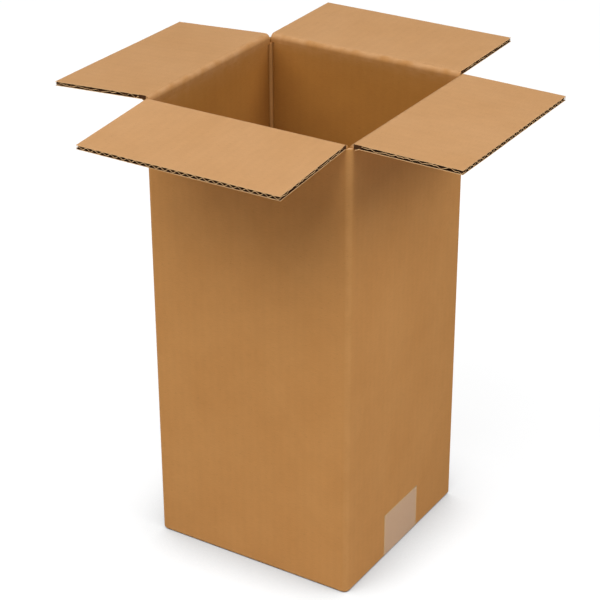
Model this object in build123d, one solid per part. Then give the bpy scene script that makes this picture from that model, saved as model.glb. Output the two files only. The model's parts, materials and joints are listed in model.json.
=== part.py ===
from build123d import *

import math
import os

# Corrugated board: two flat liners with a wavy medium between them
BOARD = 3.0
LINER = 0.35
MEDIUM = 0.3
FLUTE_PITCH = 6.35
FLUTE_CRUSH = 9.0
CUT_FLUTE_DEPTH = 1.2

# Carton, over its outside faces: X along the wide walls, Y along the narrow walls, Z up from the floor
WIDTH = 160.0
DEPTH = 154.0
SCORE_HEIGHT = 338.5

# Upright folds: round outside, a pressed bead between two grooves inside
FOLD_RADIUS = 4.5
BEAD_RADIUS = 1.8
GROOVE_RADIUS = 0.5

# Glued side tab, inside the right wall at its back edge
TAB_WIDTH = 32.0
TAB_TRIM = 14.0
TAB_TAPER = 6.0
RAW_EDGE_SETBACK = 0.8

# Top flaps, as they stand open: upward tilt of each from level, in degrees
FLAP_SEAM = 0.6
SLOT_CLEARANCE = 0.4
HINGE_GAP = 0.15
STACK_CLEARANCE = 0.2
MITRE_CLEARANCE = 0.2
FRONT_TILT = -4.7
RIGHT_TILT = -0.6
BACK_TILT = 1.0
LEFT_TILT = -3.7

# Bottom, folded shut
BOTTOM_FOLD_RADIUS = 2.0
BOTTOM_LAYER_GAP = 0.25
BOTTOM_SIDE_GAP = 0.8

# Clear tape along the bottom seam, bedded flush in the face of the board
TAPE_WIDTH = 48.0
TAPE_THICKNESS = 0.12
TAPE_TURN_UP = 30.0

# How far cutting shapes run past the faces that they cut
OVERRUN = 1.0

# Sizes that follow from those above
INNER_WIDTH = WIDTH - 2 * BOARD
INNER_DEPTH = DEPTH - 2 * BOARD
SLOT_INSET = BOARD + SLOT_CLEARANCE

# The outer flaps, on the wide walls, meet in the middle; the inner ones are as long, where the width leaves room
FLAP_LENGTH = (DEPTH - FLAP_SEAM) / 2
INNER_FLAP_LENGTH = min(FLAP_LENGTH, (WIDTH - FLAP_SEAM) / 2)

# The inner flaps close under the outer ones, so they turn about a lower line and lie further from it
STACK_STEP = (BOARD + STACK_CLEARANCE) / 2
INNER_SCORE = SCORE_HEIGHT - STACK_STEP
INNER_LIFT = HINGE_GAP + STACK_STEP

FLOOR_TOP = 2 * BOARD + BOTTOM_LAYER_GAP
BEAD_TOP = INNER_SCORE - INNER_LIFT - BOARD - STACK_CLEARANCE
TAB_TOP = SCORE_HEIGHT - TAB_TRIM
TAB_FOOT = FLOOR_TOP + TAB_TRIM - TAB_TAPER


def block(low, high):
    """A box between two opposite corners."""
    size = [b - a for a, b in zip(low, high)]
    return Pos(*low) * Box(*size, align=(Align.MIN, Align.MIN, Align.MIN))


def outer_block(inset):
    """The carton's outside as one solid, drawn in by inset, with its folds rounded and its glued corner square."""
    width = WIDTH - 2 * inset
    depth = DEPTH - 2 * inset
    plan = Rectangle(width, depth)
    folds = [v for v in plan.vertices() if not (v.X > 0 and v.Y > 0)]
    plan = fillet(folds, FOLD_RADIUS - inset)
    solid = Pos(0, 0, inset) * extrude(plan, SCORE_HEIGHT - inset)
    foot = solid.edges().filter_by_position(Axis.Z, inset, inset)
    return fillet(foot, BOTTOM_FOLD_RADIUS - inset)


def hollow():
    """The space inside the walls, with the pressed beads and grooves of the three scored folds."""
    plan = Rectangle(INNER_WIDTH, INNER_DEPTH)
    step = BEAD_RADIUS + GROOVE_RADIUS
    for sx, sy in ((-1, -1), (1, -1), (-1, 1)):
        x = sx * INNER_WIDTH / 2
        y = sy * INNER_DEPTH / 2
        plan -= Pos(x, y) * Circle(BEAD_RADIUS)
        plan += Pos(x - sx * step, y) * Circle(GROOVE_RADIUS)
        plan += Pos(x, y - sy * step) * Circle(GROOVE_RADIUS)
    space = Pos(0, 0, FLOOR_TOP) * extrude(plan, SCORE_HEIGHT)
    above = Pos(0, 0, BEAD_TOP) * extrude(Rectangle(INNER_WIDTH, INNER_DEPTH), SCORE_HEIGHT)
    return space + above


def glued_corner():
    """What is missing at the glued corner: the round of the tab's fold and the setback of the raw wall edge."""
    face = WIDTH / 2 - BOARD
    edge = DEPTH / 2
    square = Pos(face - FOLD_RADIUS / 2, edge - FOLD_RADIUS / 2) * Rectangle(FOLD_RADIUS, FOLD_RADIUS)
    round_off = square - Pos(face - FOLD_RADIUS, edge - FOLD_RADIUS) * Circle(FOLD_RADIUS)
    strip_depth = RAW_EDGE_SETBACK + OVERRUN
    strip_width = BOARD + OVERRUN
    strip = Pos(face + strip_width / 2, edge - RAW_EDGE_SETBACK + strip_depth / 2)
    plan = round_off + strip * Rectangle(strip_width, strip_depth)
    height = SCORE_HEIGHT - FLOOR_TOP + OVERRUN
    return Pos(0, 0, FLOOR_TOP) * extrude(plan, height)


def side_tab():
    """The tab glued to the inside of the right wall, tapered at both ends."""
    back = DEPTH / 2 - BOARD
    front = back - TAB_WIDTH
    outline = [
        (back, TAB_FOOT - TAB_TAPER),
        (back, TAB_TOP + TAB_TAPER),
        (front, TAB_TOP - TAB_TAPER),
        (front, TAB_FOOT + TAB_TAPER),
    ]
    return Pos(WIDTH / 2 - 2 * BOARD) * extrude(Plane.YZ * Polygon(*outline, align=None), BOARD)


def bottom_cuts():
    """The narrow gaps that part the four bottom flaps from each other and from the walls beside them."""
    x = INNER_WIDTH / 2
    y = INNER_DEPTH / 2
    reach = WIDTH / 2 - INNER_FLAP_LENGTH
    inner_flap_foot = BOARD + BOTTOM_LAYER_GAP
    cuts = [
        block((-x, -y, BOARD), (x, y, inner_flap_foot)),
        block((-x, -FLAP_SEAM / 2, -OVERRUN), (x, FLAP_SEAM / 2, BOARD)),
        block((-reach, -y, inner_flap_foot), (reach, y, FLOOR_TOP)),
    ]
    for side in (-1, 1):
        a, b = sorted((side * x, side * (x - BOTTOM_SIDE_GAP)))
        cuts.append(block((a, -y, -OVERRUN), (b, y, BOARD)))
        a, b = sorted((side * y, side * (y - BOTTOM_SIDE_GAP)))
        cuts.append(block((-x, a, inner_flap_foot), (x, b, FLOOR_TOP)))
    return cuts


def wall_top_cut(span, drop):
    """Above a right-hand wall whose score lies drop below the corners: its step and its mitre, along Y."""
    deep = BOARD + OVERRUN
    outline = [(-OVERRUN, 0), (0, 0), (deep, -deep), (deep, drop + OVERRUN), (-OVERRUN, drop + OVERRUN)]
    points = [(-u, v) for u, v in outline]
    return extrude(Plane.XZ * Polygon(*points, align=None), span / 2, both=True)


def at_wall(angle, distance, height, shape):
    """Puts a shape made for the right-hand side at the wall that faces angle degrees round from +X."""
    return Rot(0, 0, angle) * Pos(distance, 0, height) * shape


def tape_band():
    """The strip of space in which the tape lies, from end to end under the carton and up both narrow walls."""
    x = WIDTH / 2 + OVERRUN
    return block((-x, -TAPE_WIDTH / 2, -OVERRUN), (x, TAPE_WIDTH / 2, TAPE_TURN_UP))


def make_tape():
    """The tape: the outermost skin of the carton inside its band, on the underside and the two narrow walls."""
    return (outer_block(0) - outer_block(TAPE_THICKNESS)) & tape_band()


def make_body(tape):
    """Walls, glued tab and folded bottom as the one sheet that they are."""
    body = outer_block(0) - hollow() - glued_corner()
    for cut in bottom_cuts():
        body -= cut
    body += side_tab()
    wide_span = WIDTH - 2 * SLOT_INSET
    narrow_span = DEPTH - 2 * SLOT_INSET
    for angle in (90, 270):
        body -= at_wall(angle, DEPTH / 2, SCORE_HEIGHT, wall_top_cut(wide_span, 0))
    for angle in (0, 180):
        body -= at_wall(angle, WIDTH / 2, INNER_SCORE, wall_top_cut(narrow_span, STACK_STEP))
    return body - tape


def flap_section(length, lift):
    """A flap's outline across its score, lying level: the score line is the origin and the flap runs out along X."""
    heel = HINGE_GAP + MITRE_CLEARANCE
    top = lift + BOARD
    points = [
        (heel, HINGE_GAP),
        (2 * lift + MITRE_CLEARANCE, lift),
        (length, lift),
        (length, top),
        (top + MITRE_CLEARANCE, top),
    ]
    return Plane.XZ * Polygon(*points, align=None)


def flute_cuts(width, length, lift):
    """The open channels above and below the wavy medium, run in from the flap's outer edge."""
    low = lift + LINER
    high = lift + BOARD - LINER
    slope = math.atan2(high - low, FLUTE_PITCH / 2)
    rise = high - low - MEDIUM / math.cos(slope)
    half = (FLUTE_PITCH - MEDIUM / math.sin(slope)) / 2
    heel = lift + BOARD + FLUTE_CRUSH
    count = int((width - 2 * CUT_FLUTE_DEPTH - FLUTE_PITCH / 2) // FLUTE_PITCH)
    outlines = Sketch()
    for i in range(2 * count - 1):
        y = (i - count + 1) * FLUTE_PITCH / 2
        base, tip, reach = (low, low + rise, half) if i % 2 == 0 else (high, high - rise, -half)
        outlines += Polygon((y - reach, base), (y + reach, base), (y, tip), align=None)
    return extrude(Plane.YZ.offset(heel) * outlines, length - heel + OVERRUN)


def side_cut(width, length, lift):
    """The flute laid open along each side edge, where the slots were cut."""
    heel = lift + BOARD + FLUTE_CRUSH
    groove = Pos(0, 0, lift + BOARD / 2) * Box(
        length - heel + OVERRUN,
        CUT_FLUTE_DEPTH + OVERRUN,
        BOARD - 2 * LINER,
        align=(Align.MIN, Align.MIN, Align.CENTER),
    )
    right = Pos(heel, width / 2 - CUT_FLUTE_DEPTH) * groove
    return [right, mirror(right, Plane.XZ)]


def make_flap(wall_length, length, lift):
    """One top flap for a wall of the given length, lying level along X with its score line on the Y axis."""
    width = wall_length - 2 * SLOT_INSET
    flap = extrude(flap_section(length, lift), width / 2, both=True)
    flap -= flute_cuts(width, length, lift)
    for cut in side_cut(width, length, lift):
        flap -= cut
    return flap


def outer_flap(angle, tilt):
    """A flap of a wide wall, folded out about its score on the wall that faces angle."""
    flap = make_flap(WIDTH, FLAP_LENGTH, HINGE_GAP)
    return at_wall(angle, DEPTH / 2, SCORE_HEIGHT, Rot(0, -tilt, 0) * flap)


def inner_flap(angle, tilt):
    """A flap of a narrow wall, folded out about its score on the wall that faces angle."""
    flap = make_flap(DEPTH, INNER_FLAP_LENGTH, INNER_LIFT)
    return at_wall(angle, WIDTH / 2, INNER_SCORE, Rot(0, -tilt, 0) * flap)


tape = make_tape()
nodes = {
    "carton_body": make_body(tape),
    "bottom_tape": tape,
    "right_flap": inner_flap(0, RIGHT_TILT),
    "back_flap": outer_flap(90, BACK_TILT),
    "left_flap": inner_flap(180, LEFT_TILT),
    "front_flap": outer_flap(270, FRONT_TILT),
}

os.makedirs("parts", exist_ok=True)
for name, shape in nodes.items():
    export_step(shape, f"parts/{name}.step")
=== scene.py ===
"""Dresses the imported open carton.

It makes the corrugated board with its folded bends and open flutes, the packing tape and a white studio.
"""

from __future__ import annotations

import json
import logging
import math
from dataclasses import dataclass, field
from enum import Enum
from typing import Any, Iterable, Sequence

import bmesh
import bpy
import numpy as np
from mathutils import Matrix, Vector, noise

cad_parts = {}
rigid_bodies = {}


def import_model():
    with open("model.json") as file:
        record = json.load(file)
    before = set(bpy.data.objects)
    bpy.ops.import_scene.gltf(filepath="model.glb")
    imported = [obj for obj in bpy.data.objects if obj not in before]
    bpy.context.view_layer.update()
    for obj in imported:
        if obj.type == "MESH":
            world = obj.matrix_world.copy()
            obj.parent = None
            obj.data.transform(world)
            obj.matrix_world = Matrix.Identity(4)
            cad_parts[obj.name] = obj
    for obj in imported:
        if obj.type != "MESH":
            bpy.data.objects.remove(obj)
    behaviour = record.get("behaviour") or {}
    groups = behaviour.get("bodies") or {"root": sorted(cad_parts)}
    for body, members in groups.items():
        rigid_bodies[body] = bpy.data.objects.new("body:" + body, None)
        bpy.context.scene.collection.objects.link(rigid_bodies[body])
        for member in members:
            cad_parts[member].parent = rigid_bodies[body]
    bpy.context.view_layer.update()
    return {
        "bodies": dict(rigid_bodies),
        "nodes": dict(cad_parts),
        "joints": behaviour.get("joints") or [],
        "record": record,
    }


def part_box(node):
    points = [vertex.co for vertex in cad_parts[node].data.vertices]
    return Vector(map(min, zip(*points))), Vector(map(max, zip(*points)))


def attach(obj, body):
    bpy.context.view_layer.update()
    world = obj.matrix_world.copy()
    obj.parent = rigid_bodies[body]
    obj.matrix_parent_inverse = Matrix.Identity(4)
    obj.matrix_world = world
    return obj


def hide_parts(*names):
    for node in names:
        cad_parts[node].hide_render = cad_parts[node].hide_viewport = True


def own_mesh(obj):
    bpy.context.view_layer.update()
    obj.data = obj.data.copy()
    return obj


LOG = logging.getLogger("carton")
UV_NAME = "board"
WEAR_AND_LIGHT_NAME = "wear"
CARTON = "carton"

# Lengths are in metres. TINY takes up the rounding of worked-out values, ROUNDING that of stored points.
# Points closer than TOUCH meet, and those closer than MERGE become one.
MM = 0.001
TINY = 1e-9
ROUNDING = 1e-6
TOUCH = 0.001 * MM
MERGE = 0.0005 * MM
FLUTE_PITCH = 6.35 * MM
RIPPLE_GAIN = 1.6
STILL = Matrix.Identity(4)

Point = tuple[float, float]
Colour = tuple[float, float, float]
Row = tuple[float, float, float, float]
Section = dict[str, list[int]]


class Side(Enum):
    """The four walls, by the turn of the outward direction from +X, in degrees."""

    RIGHT = 0
    BACK = 90
    LEFT = 180
    FRONT = 270

    @property
    def label(self) -> str:
        """The wall's name in the names of pieces."""
        return self.name.lower()

    @property
    def flap(self) -> str:
        """Name of the top flap's node and body on this wall."""
        return self.label + "_flap"

    @property
    def is_wide(self) -> bool:
        """True for the two wide walls, which carry the outer flaps."""
        return self in (Side.FRONT, Side.BACK)

    def turn(self) -> Matrix:
        """Turns a shape made for the right-hand wall to this wall."""
        return Matrix.Rotation(math.radians(self.value), 4, "Z")


# The walls in their order on the flat blank, from the raw edge to the glued tab
BLANK_ORDER = (Side.RIGHT, Side.FRONT, Side.LEFT, Side.BACK)


class Face(Enum):
    """Material slots that every piece of board has."""

    INSIDE = 0
    OUTSIDE = 1
    RAW = 2
    # The lining is the inside finish again, darker and more saturated: painted shade on the faces inside the
    # box.
    LINING = 3
    # The hollow finish is painted almost black: painted shade in the flutes and at the ends of the creases.
    HOLLOW = 4


# Finishes


@dataclass(frozen=True)
class Grain:
    """One noise pattern: its cycles in a metre along each axis, and its octaves."""

    scale: tuple[float, float, float]
    detail: float


class NodeTree:
    """A small helper that adds nodes to a tree and links them."""

    def __init__(self, tree: bpy.types.NodeTree) -> None:
        """Keeps the tree and empties it.

        Args:
            tree: the node tree to fill.
        """
        self.tree = tree
        tree.nodes.clear()

    def add(self, kind: str, inputs: dict[Any, Any] | None = None, **settings: Any) -> bpy.types.Node:
        """Adds one node.

        Args:
            kind: the node's type name.
            inputs: values or output sockets, by input name or number.
            settings: properties of the node itself.

        Returns:
            The new node.
        """
        node = self.tree.nodes.new(kind)
        for key, value in settings.items():
            setattr(node, key, value)
        for key, value in (inputs or {}).items():
            self.feed(node.inputs[key], value)
        return node

    def feed(self, socket: bpy.types.NodeSocket, value: Any) -> None:
        """Links an output to a socket, or sets the socket's own value.

        Args:
            socket: the input socket.
            value: an output socket or a plain value.
        """
        if isinstance(value, bpy.types.NodeSocket):
            self.tree.links.new(value, socket)
        else:
            socket.default_value = value

    def math(self, operation: str, *values: Any, clamp: bool = False) -> bpy.types.NodeSocket:
        """Adds a Math node.

        Args:
            operation: the node's operation.
            values: numbers or output sockets.
            clamp: whether the result is kept between 0 and 1.

        Returns:
            The node's output.
        """
        node = self.add("ShaderNodeMath", dict(enumerate(values)), operation=operation, use_clamp=clamp)
        return node.outputs[0]

    def noise(self, vector: bpy.types.NodeSocket, grain: Grain) -> bpy.types.NodeSocket:
        """Adds a noise texture with its own scale along each axis.

        Args:
            vector: the coordinates.
            grain: the noise's scale and detail.

        Returns:
            The noise value, about 0.5 on average.
        """
        spread = self.add("ShaderNodeVectorMath", {0: vector, 1: grain.scale}, operation="MULTIPLY")
        texture = self.add(
            "ShaderNodeTexNoise", {"Vector": spread.outputs[0], "Scale": 1.0, "Detail": grain.detail}
        )
        return texture.outputs["Fac"]

    def weigh(
        self, terms: Sequence[tuple[float, bpy.types.NodeSocket]], start: float = 0.5
    ) -> bpy.types.NodeSocket:
        """Adds up weighted values, each taken about its middle of 0.5.

        Args:
            terms: pairs of weight and value.
            start: the sum with every value at 0.5.

        Returns:
            The sum.
        """
        total: Any = start - sum(weight for weight, _ in terms) / 2
        for weight, value in terms:
            total = self.math("MULTIPLY_ADD", value, weight, total)
        return total

    def stretch(self, value: bpy.types.NodeSocket, span: Point) -> bpy.types.NodeSocket:
        """Spreads a span of a value to 0 to 1.

        Args:
            value: the value.
            span: what becomes 0, and what becomes 1.

        Returns:
            The new value.
        """
        node = self.add("ShaderNodeMapRange", {0: value, 1: span[0], 2: span[1], 3: 0.0, 4: 1.0})
        return node.outputs[0]

    def blend(self, share: bpy.types.NodeSocket, first: Any, second: Any) -> bpy.types.NodeSocket:
        """Mixes two colours.

        Args:
            share: how much of the second colour shows, from 0 to 1.
            first: a colour or an output socket.
            second: a colour or an output socket.

        Returns:
            The mixed colour.
        """
        a, b = (c if isinstance(c, bpy.types.NodeSocket) else (*c, 1.0) for c in (first, second))
        return self.add("ShaderNodeMix", {0: share, 6: a, 7: b}, data_type="RGBA").outputs[2]

    def bump(self, height: bpy.types.NodeSocket, strength: float, distance: float) -> bpy.types.NodeSocket:
        """Adds a bump.

        Args:
            height: the pattern that stands up.
            strength: how strongly it shows.
            distance: how far it stands up, in metres.

        Returns:
            The bent normal.
        """
        node = self.add("ShaderNodeBump", {"Height": height, "Strength": strength, "Distance": distance})
        return node.outputs[0]

    def surface(self, inputs: dict[str, Any]) -> None:
        """Adds the main shader and the material's output.

        Args:
            inputs: the shader's values or output sockets, by input name.
        """
        shader = self.add("ShaderNodeBsdfPrincipled", inputs)
        self.add("ShaderNodeOutputMaterial", {"Surface": shader.outputs[0]})


def new_material(name: str) -> tuple[bpy.types.Material, NodeTree]:
    """Makes an empty node material.

    Args:
        name: the material's name.

    Returns:
        The material and its tree.
    """
    material = bpy.data.materials.new(name)
    material.use_nodes = True
    return material, NodeTree(material.node_tree)


@dataclass(frozen=True)
class KraftFinish:
    """Unprinted kraft liner: fibres along the web, cloudy mottle, dark flecks and a trace of the flutes.

    A pattern's shade, height or roughness value says how strongly it counts there.
    """

    name: str
    colour: Colour
    cloud_colour: Colour
    worn_and_lit_colour: Colour
    fibre: Grain = Grain((190.0, 1500.0, 1.0), 3.0)
    tuft: Grain = Grain((900.0, 1300.0, 1.0), 2.0)
    cloud: Grain = Grain((26.0, 19.0, 1.0), 4.0)
    blotch: Grain = Grain((95.0, 70.0, 1.0), 3.0)
    fleck: Grain = Grain((420.0, 1000.0, 1.0), 1.0)
    flute_pitch: float = FLUTE_PITCH
    fleck_span: Point = (0.66, 0.78)
    cloud_span: Point = (0.34, 0.68)
    scuff_gain: float = 1.4
    scuff_start: float = -0.1
    shade: float = 0.93
    fibre_shade: float = 0.16
    tuft_shade: float = 0.1
    blotch_shade: float = 0.1
    flute_shade: float = 0.016
    fleck_shade: float = -0.14
    fibre_height: float = 0.5
    tuft_height: float = 0.4
    flute_height: float = 0.5
    bump_strength: float = 0.55
    bump_height: float = 0.06 * MM
    roughness: float = 0.86
    tuft_roughness: float = 0.12
    scuff_roughness: float = -0.1
    specular: float = 0.22

    def material(self) -> bpy.types.Material:
        """Builds the liner's node material.

        Returns:
            The material.
        """
        material, tree = new_material(self.name)
        uv = tree.add("ShaderNodeUVMap", uv_map=UV_NAME).outputs[0]
        grains = (self.fibre, self.tuft, self.cloud, self.blotch, self.fleck)
        fibre, tuft, cloud, blotch, fleck = (tree.noise(uv, grain) for grain in grains)
        across = tree.add("ShaderNodeSeparateXYZ", {0: uv}).outputs[0]
        phase = tree.math("MULTIPLY", across, 2 * math.pi / self.flute_pitch)
        flute = tree.math("MULTIPLY_ADD", tree.math("SINE", phase), 0.5, 0.5)
        spots = tree.stretch(fleck, self.fleck_span)
        # The wear attribute and the worn colour give real wear, and on the lining also the painted light near
        # the creases.
        worn = tree.add("ShaderNodeAttribute", attribute_name=WEAR_AND_LIGHT_NAME).outputs["Fac"]
        patchy = tree.math("MULTIPLY_ADD", blotch, self.scuff_gain, self.scuff_start)
        wear_and_light_mask = tree.math("MULTIPLY", worn, patchy, clamp=True)

        cloudy = tree.blend(tree.stretch(cloud, self.cloud_span), self.colour, self.cloud_colour)
        worn_and_lit = tree.blend(wear_and_light_mask, cloudy, self.worn_and_lit_colour)
        shades = [
            (self.fibre_shade, fibre),
            (self.tuft_shade, tuft),
            (self.blotch_shade, blotch),
            (self.flute_shade, flute),
            (self.fleck_shade, spots),
        ]
        shade = tree.weigh(shades, self.shade)
        heights = [(self.fibre_height, fibre), (self.tuft_height, tuft), (self.flute_height, flute)]
        rough = [(self.tuft_roughness, tuft), (self.scuff_roughness, wear_and_light_mask)]
        colour = tree.add("ShaderNodeVectorMath", {0: worn_and_lit, 3: shade}, operation="SCALE")
        tree.surface(
            {
                "Base Color": colour.outputs[0],
                "Roughness": tree.weigh(rough, self.roughness),
                "Normal": tree.bump(tree.weigh(heights), self.bump_strength, self.bump_height),
                "Specular IOR Level": self.specular,
            }
        )
        return material


@dataclass(frozen=True)
class RawFinish:
    """Cut edges and, in a near-black copy that paints the shade in the flutes, the wavy medium: bare, fuzzy
    fibre, a little paler or darker from place to place.
    """

    name: str
    colour: Colour
    dark_colour: Colour
    grain: Grain = Grain((1300.0, 1300.0, 1300.0), 3.0)
    patch: Grain = Grain((260.0, 260.0, 260.0), 2.0)
    grain_share: float = 0.9
    patch_share: float = 0.9
    bump_strength: float = 0.6
    bump_height: float = 0.12 * MM
    roughness: float = 0.95
    specular: float = 0.12

    def material(self) -> bpy.types.Material:
        """Builds the raw edge's node material.

        Returns:
            The material.
        """
        material, tree = new_material(self.name)
        place = tree.add("ShaderNodeTexCoord").outputs["Object"]
        grain = tree.noise(place, self.grain)
        patch = tree.noise(place, self.patch)
        mixed = tree.weigh([(self.grain_share, grain), (self.patch_share, patch)])
        tree.surface(
            {
                "Base Color": tree.blend(mixed, self.dark_colour, self.colour),
                "Roughness": self.roughness,
                "Normal": tree.bump(grain, self.bump_strength, self.bump_height),
                "Specular IOR Level": self.specular,
            }
        )
        return material


@dataclass(frozen=True)
class TapeFinish:
    """Clear packing tape: a thin film with a milky glue side, fine streaks and a soft gloss."""

    name: str
    colour: Colour
    streak_colour: Colour
    edge_highlight_colour: Colour
    streak: Grain = Grain((14.0, 420.0, 420.0), 3.0)
    bubble: Grain = Grain((180.0, 180.0, 180.0), 3.0)
    streak_share: float = 0.5
    bubble_share: float = 0.3
    streak_height: float = 0.6
    bubble_height: float = 0.8
    bump_strength: float = 0.35
    bump_height: float = 0.05 * MM
    alpha: float = 0.42
    roughness: float = 0.32
    specular: float = 0.4

    def material(self) -> bpy.types.Material:
        """Builds the film's node material.

        Returns:
            The material.
        """
        material, tree = new_material(self.name)
        place = tree.add("ShaderNodeTexCoord").outputs["Object"]
        streak = tree.noise(place, self.streak)
        bubble = tree.noise(place, self.bubble)
        mixed = tree.weigh([(self.streak_share, streak), (self.bubble_share, bubble)])
        middle = tree.blend(mixed, self.colour, self.streak_colour)
        # Near its edges the film takes a lighter edge colour: a painted highlight.
        edge = tree.add("ShaderNodeAttribute", attribute_name=WEAR_AND_LIGHT_NAME).outputs["Fac"]
        height = tree.weigh([(self.streak_height, streak), (self.bubble_height, bubble)])
        tree.surface(
            {
                "Base Color": tree.blend(edge, middle, self.edge_highlight_colour),
                "Roughness": self.roughness,
                "Normal": tree.bump(height, self.bump_strength, self.bump_height),
                "Alpha": self.alpha,
                "Specular IOR Level": self.specular,
            }
        )
        return material


@dataclass
class Finishes:
    """Every material of the carton, made once."""

    inside: KraftFinish = KraftFinish(
        "kraft_inside",
        colour=(0.49, 0.268, 0.118),
        cloud_colour=(0.47, 0.252, 0.106),
        worn_and_lit_colour=(0.53, 0.3, 0.14),
    )
    outside: KraftFinish = KraftFinish(
        "kraft_outside",
        colour=(0.52, 0.247, 0.075),
        cloud_colour=(0.496, 0.23, 0.067),
        worn_and_lit_colour=(0.56, 0.285, 0.098),
    )
    # The lining is a darker, more saturated copy of the inside finish: painted shade on the walls and floor
    # inside the box. Its worn colour is the flap tops' colour, which paints light up to the creases.
    lining: KraftFinish = KraftFinish(
        "kraft_lining",
        colour=(0.4, 0.168, 0.03),
        cloud_colour=(0.378, 0.155, 0.027),
        worn_and_lit_colour=(0.49, 0.268, 0.118),
    )
    raw: RawFinish = RawFinish("raw_board_edge", colour=(0.82, 0.53, 0.27), dark_colour=(0.56, 0.32, 0.14))
    # The hollow finish is the medium's paper painted almost black: painted shade in the flute channels, on
    # the liners' inner faces and on the flap bends' ends.
    hollow: RawFinish = RawFinish(
        "flute_hollow", colour=(0.085, 0.034, 0.011), dark_colour=(0.028, 0.01, 0.003)
    )
    tape: TapeFinish = TapeFinish(
        "clear_tape",
        colour=(0.8, 0.565, 0.37),
        streak_colour=(0.86, 0.63, 0.43),
        edge_highlight_colour=(0.88, 0.63, 0.3),
    )
    board: list[bpy.types.Material] = field(default_factory=list)
    film: list[bpy.types.Material] = field(default_factory=list)

    def make(self) -> None:
        """Builds the materials, those of the board in the order of its slots."""
        slots = (self.inside, self.outside, self.raw, self.lining, self.hollow)
        self.board = [finish.material() for finish in slots]
        self.film = [self.tape.material()]


# Sizes


@dataclass(frozen=True)
class Board:
    """Single-wall corrugated board: two flat liners and a wavy medium."""

    thickness: float = 3.0 * MM
    inner_liner: float = 0.24 * MM
    outer_liner: float = 0.42 * MM
    medium: float = 0.4 * MM
    pitch: float = FLUTE_PITCH
    crush: float = 0.6 * MM
    ragged: float = 0.16 * MM

    @property
    def wave(self) -> float:
        """How far the medium's middle swings either way."""
        return (self.thickness - self.inner_liner - self.outer_liner - self.medium) / 2

    @property
    def core(self) -> float:
        """Height of the medium's middle above the outer face."""
        return (self.thickness - self.inner_liner + self.outer_liner) / 2


@dataclass(frozen=True)
class Hinge:
    """Where one top flap folds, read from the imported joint."""

    side: Side
    joint: str
    distance: float
    score: float
    tilt: float
    lift: float
    width: float
    length: float

    def wall_place(self) -> Matrix:
        """From score-line coordinates (out, along, up) to the carton, for what stays with the wall."""
        return self.side.turn() @ Matrix.Translation((self.distance, 0.0, self.score))

    def flap_place(self) -> Matrix:
        """From score-line coordinates to the carton, for what turns with the flap."""
        return self.wall_place() @ Matrix.Rotation(math.radians(-self.tilt), 4, "Y")


@dataclass(frozen=True)
class CartonSizes:
    """Outside sizes from the frame, and the small sizes of folds and gaps."""

    width: float
    depth: float
    score: float
    hinges: dict[Side, Hinge]
    fold_radius: float = 4.5 * MM
    foot_radius: float = 2.0 * MM
    bead_radius: float = 1.8 * MM
    groove_radius: float = 0.85 * MM
    slot_inset: float = 3.4 * MM
    raw_setback: float = 0.8 * MM
    tab_width: float = 32.0 * MM
    tab_low: Point = (8.25 * MM, 20.25 * MM)
    tab_high: Point = (330.5 * MM, 318.5 * MM)
    film_gap: float = 0.1 * MM
    layer_gap: float = 0.25 * MM
    side_gap: float = 0.8 * MM
    seam: float = 0.6 * MM
    hinge_gap: float = 0.15 * MM
    mitre_gap: float = 0.2 * MM
    bend_radius: float = 4.0 * MM
    # The next two values paint light on the lining, which grows paler towards each top crease.
    crease_painted_light: float = 0.34
    crease_light_reach: float = 7.0 * MM
    inside_shift: float = 0.9
    hang: float = -90.0

    @classmethod
    def from_frame(cls, frame: dict[str, Any]) -> CartonSizes:
        """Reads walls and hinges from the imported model.


        Returns:
            The carton's sizes, in metres.
        """
        low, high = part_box("carton_body")
        width, depth, score = high.x - low.x, high.y - low.y, high.z
        joints = {j["child"]: j for j in frame["joints"]}
        hinges = {}
        for side in Side:
            joint = joints[side.flap]
            x, y, z = joint["pos_m"]
            span = width if side.is_wide else depth
            hinges[side] = Hinge(
                side=side,
                joint=joint["name"],
                distance=math.hypot(x, y),
                score=z,
                tilt=cls.hang - joint["range_deg"][0],
                lift=cls.hinge_gap + score - z,
                width=span - 2 * cls.slot_inset,
                length=(depth - cls.seam) / 2,
            )
        return cls(width=width, depth=depth, score=score, hinges=hinges)

    def span(self, side: Side) -> float:
        """Outside length of a wall."""
        return self.width if side.is_wide else self.depth

    def wall_start(self, side: Side) -> float:
        """Distance along the blank, from the right wall's raw edge, to the middle of a wall."""
        before = BLANK_ORDER[: BLANK_ORDER.index(side)]
        return sum(self.span(wall) for wall in before) + self.span(side) / 2


# Meshes


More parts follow.
